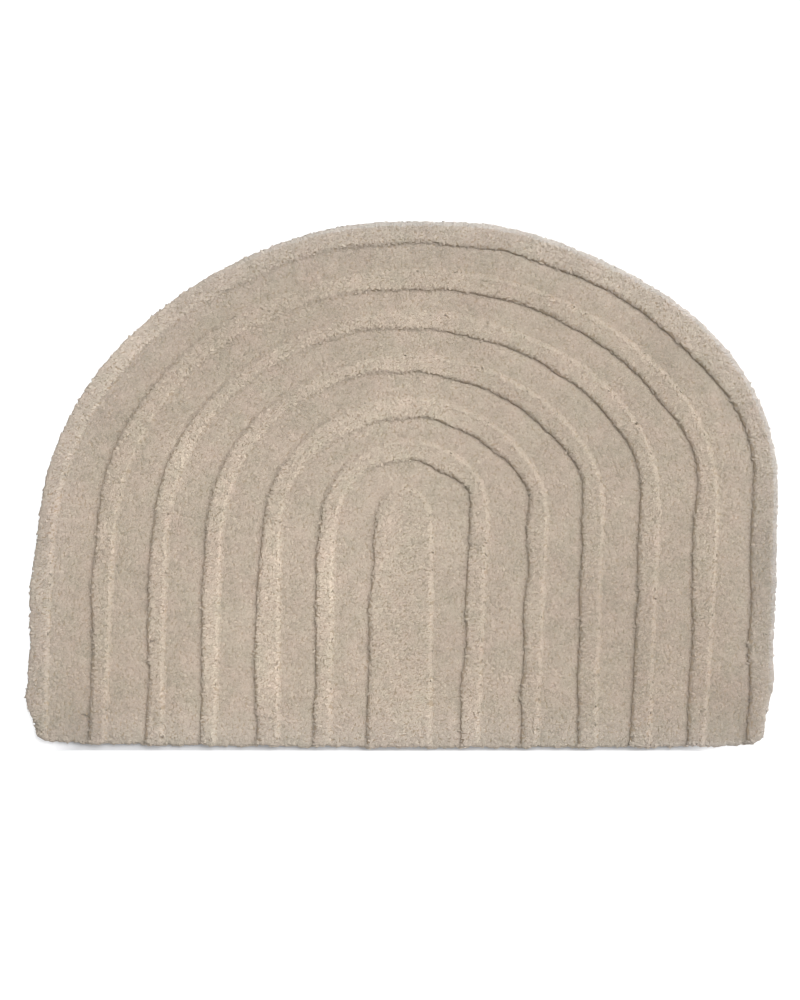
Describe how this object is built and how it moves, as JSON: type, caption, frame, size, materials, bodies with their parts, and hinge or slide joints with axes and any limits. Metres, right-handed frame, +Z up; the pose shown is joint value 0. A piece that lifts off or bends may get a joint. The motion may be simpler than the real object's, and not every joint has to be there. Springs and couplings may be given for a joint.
{
  "type": "doormat",
  "caption": "Flat tufted wool doormat in the outline of a broad arch, with a raised rim, nested raised arch ribs and a raised middle arch over a lower cut pile.",
  "frame": {"origin": "on the floor, under the middle of the mat's outline", "axes": "+X along the straight hem, to the right as seen from the hem; +Y from the hem towards the crown of the arch; +Z up, out of the pile"},
  "size_m": [0.8978, 0.6268, 0.0135],
  "materials": {
    "wool_pile": "undyed beige cut wool pile, matt, heathered, with hand-carved edges"
  },
  "bodies": {
    "root": {"tufted_mat": "wool_pile"}
  },
  "joints": []
}
